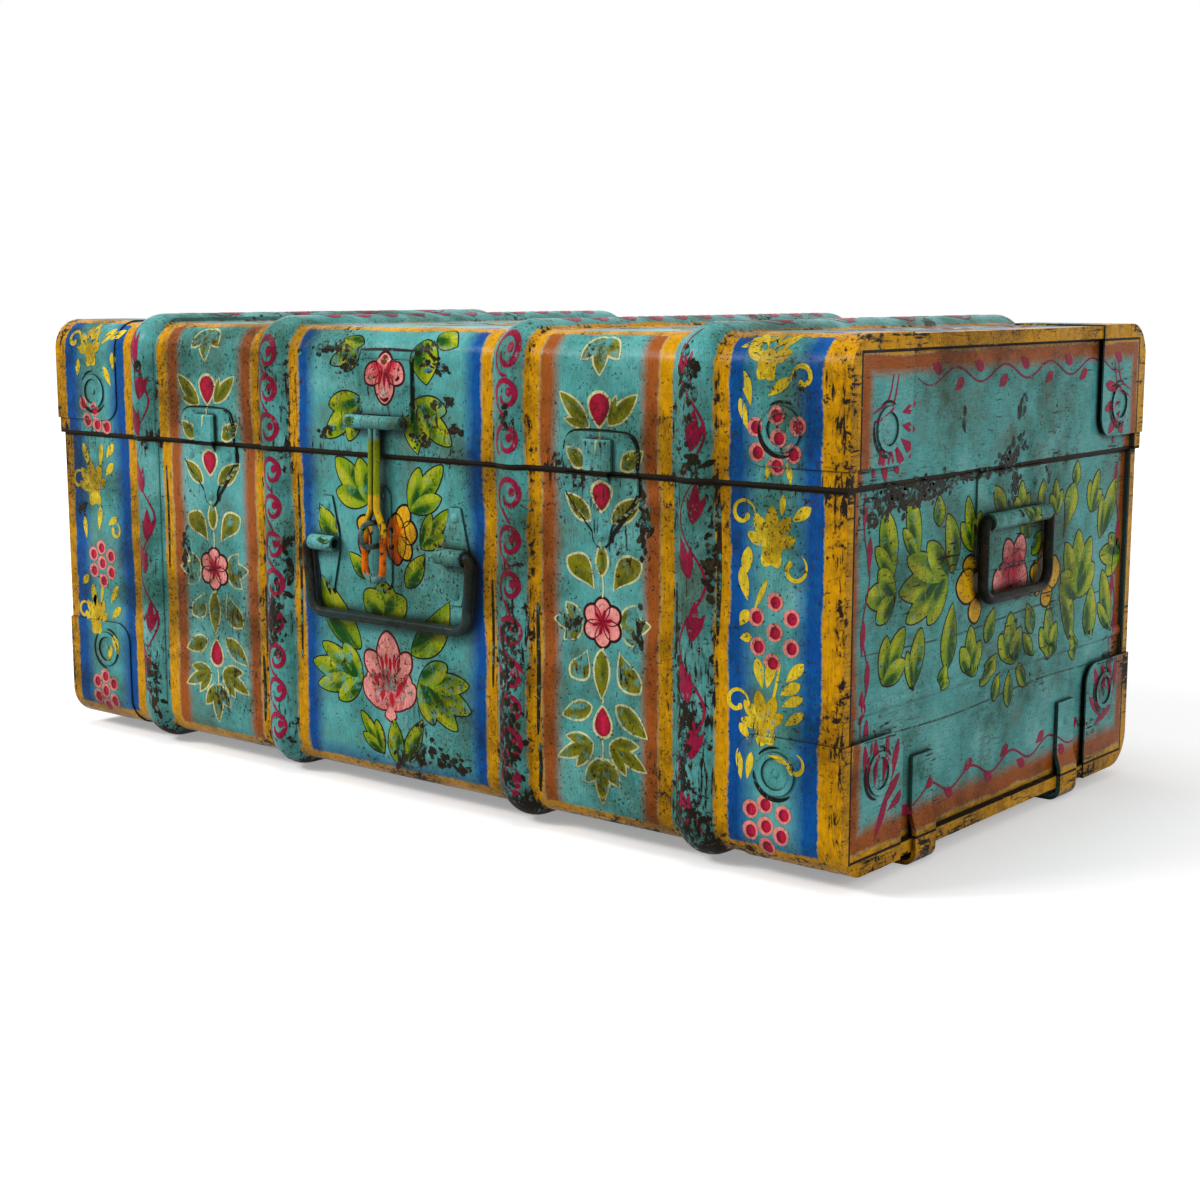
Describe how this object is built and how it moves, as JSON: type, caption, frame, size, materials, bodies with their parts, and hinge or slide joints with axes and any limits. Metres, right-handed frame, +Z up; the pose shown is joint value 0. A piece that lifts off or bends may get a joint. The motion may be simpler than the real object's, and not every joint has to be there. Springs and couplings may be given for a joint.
{
  "type": "small tin trunk",
  "caption": "Small ribbed tin trunk with a hinged lid, wire hasp and staple, dowel fasteners, wire handles and hand-painted flowers.",
  "frame": {"origin": "on the floor below the middle of the whole object's box", "axes": "+X along the front, to the right as one faces it; +Y to the back; +Z up"},
  "size_m": [0.5104, 0.2908, 0.228],
  "materials": {
    "body_corner_front_left": "hand-painted enamel, chipped",
    "body_corner_front_right": "hand-painted enamel, chipped",
    "body_corner_rear_left": "hand-painted enamel, chipped",
    "body_corner_rear_right": "hand-painted enamel, chipped",
    "body_corner_rivets": "hand-painted enamel, chipped",
    "body_end_left": "hand-painted enamel, chipped",
    "body_end_right": "hand-painted enamel, chipped",
    "body_wrap": "hand-painted enamel, chipped",
    "dowel_socket_left": "hand-painted enamel, chipped",
    "dowel_socket_right": "hand-painted enamel, chipped",
    "dowel_socket_rivets": "hand-painted enamel, chipped",
    "dowel_tongue_left": "hand-painted enamel, chipped",
    "dowel_tongue_right": "hand-painted enamel, chipped",
    "dowel_tongue_rivets": "hand-painted enamel, chipped",
    "front_bail": "hand-painted enamel, chipped",
    "handle_bracket_left": "hand-painted enamel, chipped",
    "handle_bracket_right": "hand-painted enamel, chipped",
    "handle_bracket_rivets": "hand-painted enamel, chipped",
    "hasp": "hand-painted enamel, chipped",
    "hasp_pin": "worn steel",
    "hasp_plate": "hand-painted enamel, chipped",
    "hasp_plate_rivets": "hand-painted enamel, chipped",
    "hinge_leaf_body_left": "hand-painted enamel, chipped",
    "hinge_leaf_body_right": "hand-painted enamel, chipped",
    "hinge_leaf_lid_left": "hand-painted enamel, chipped",
    "hinge_leaf_lid_right": "hand-painted enamel, chipped",
    "hinge_pin_left": "worn steel",
    "hinge_pin_right": "worn steel",
    "hinge_rivets_body": "hand-painted enamel, chipped",
    "hinge_rivets_lid": "hand-painted enamel, chipped",
    "lid_corner_front_left": "hand-painted enamel, chipped",
    "lid_corner_front_right": "hand-painted enamel, chipped",
    "lid_corner_rear_left": "hand-painted enamel, chipped",
    "lid_corner_rear_right": "hand-painted enamel, chipped",
    "lid_corner_rivets": "hand-painted enamel, chipped",
    "lid_end_left": "hand-painted enamel, chipped",
    "lid_end_right": "hand-painted enamel, chipped",
    "lid_wrap": "hand-painted enamel, chipped",
    "rim_lip": "plain enamel paint",
    "runner_front": "worn enamel paint",
    "runner_rear": "worn enamel paint",
    "runner_rivets": "worn enamel paint",
    "side_bail_left": "hand-painted enamel, chipped",
    "side_bail_right": "hand-painted enamel, chipped",
    "side_plate_left": "hand-painted enamel, chipped",
    "side_plate_right": "hand-painted enamel, chipped",
    "side_plate_rivets": "hand-painted enamel, chipped",
    "staple": "worn enamel paint",
    "staple_plate": "hand-painted enamel, chipped",
    "staple_rivets": "hand-painted enamel, chipped"
  },
  "bodies": {
    "trunk": {"body_corner_front_left": "body_corner_front_left", "body_corner_front_right": "body_corner_front_right", "body_corner_rear_left": "body_corner_rear_left", "body_corner_rear_right": "body_corner_rear_right", "body_corner_rivets": "body_corner_rivets", "body_end_left": "body_end_left", "body_end_right": "body_end_right", "body_wrap": "body_wrap", "dowel_tongue_left": "dowel_tongue_left", "dowel_tongue_right": "dowel_tongue_right", "dowel_tongue_rivets": "dowel_tongue_rivets", "handle_bracket_left": "handle_bracket_left", "handle_bracket_right": "handle_bracket_right", "handle_bracket_rivets": "handle_bracket_rivets", "hinge_leaf_body_left": "hinge_leaf_body_left", "hinge_leaf_body_right": "hinge_leaf_body_right", "hinge_pin_left": "hinge_pin_left", "hinge_pin_right": "hinge_pin_right", "hinge_rivets_body": "hinge_rivets_body", "rim_lip": "rim_lip", "runner_front": "runner_front", "runner_rear": "runner_rear", "runner_rivets": "runner_rivets", "side_plate_left": "side_plate_left", "side_plate_right": "side_plate_right", "side_plate_rivets": "side_plate_rivets", "staple": "staple", "staple_plate": "staple_plate", "staple_rivets": "staple_rivets"},
    "lid": {"dowel_socket_left": "dowel_socket_left", "dowel_socket_right": "dowel_socket_right", "dowel_socket_rivets": "dowel_socket_rivets", "hasp_pin": "hasp_pin", "hasp_plate": "hasp_plate", "hasp_plate_rivets": "hasp_plate_rivets", "hinge_leaf_lid_left": "hinge_leaf_lid_left", "hinge_leaf_lid_right": "hinge_leaf_lid_right", "hinge_rivets_lid": "hinge_rivets_lid", "lid_corner_front_left": "lid_corner_front_left", "lid_corner_front_right": "lid_corner_front_right", "lid_corner_rear_left": "lid_corner_rear_left", "lid_corner_rear_right": "lid_corner_rear_right", "lid_corner_rivets": "lid_corner_rivets", "lid_end_left": "lid_end_left", "lid_end_right": "lid_end_right", "lid_wrap": "lid_wrap"},
    "hasp": {"hasp": "hasp"},
    "front_bail": {"front_bail": "front_bail"},
    "side_bail_left": {"side_bail_left": "side_bail_left"},
    "side_bail_right": {"side_bail_right": "side_bail_right"}
  },
  "joints": [
    {"name": "lid_hinge", "type": "hinge", "parent": "trunk", "child": "lid", "pos_m": [0, 0.14217, 0.1635], "axis": [-1, 0, 0], "range_deg": [0, 98]},
    {"name": "hasp_swing", "type": "hinge", "parent": "lid", "child": "hasp", "pos_m": [-0.005, -0.13392, 0.1795], "axis": [-1, 0, 0], "range_deg": [0, 175]},
    {"name": "front_bail_swing", "type": "hinge", "parent": "trunk", "child": "front_bail", "pos_m": [0, -0.13298, 0.12], "axis": [-1, 0, 0], "range_deg": [0, 150]},
    {"name": "right_bail_swing", "type": "hinge", "parent": "trunk", "child": "side_bail_right", "pos_m": [0.25145, 0.01178, 0.141], "axis": [0, -1, 0], "range_deg": [0, 150]},
    {"name": "left_bail_swing", "type": "hinge", "parent": "trunk", "child": "side_bail_left", "pos_m": [-0.25145, 0.01178, 0.141], "axis": [0, 1, 0], "range_deg": [0, 150]}
  ],
  "couplings": [
    {"joint": "hasp_swing", "follows": "lid_hinge", "ratio": 1.78}
  ]
}
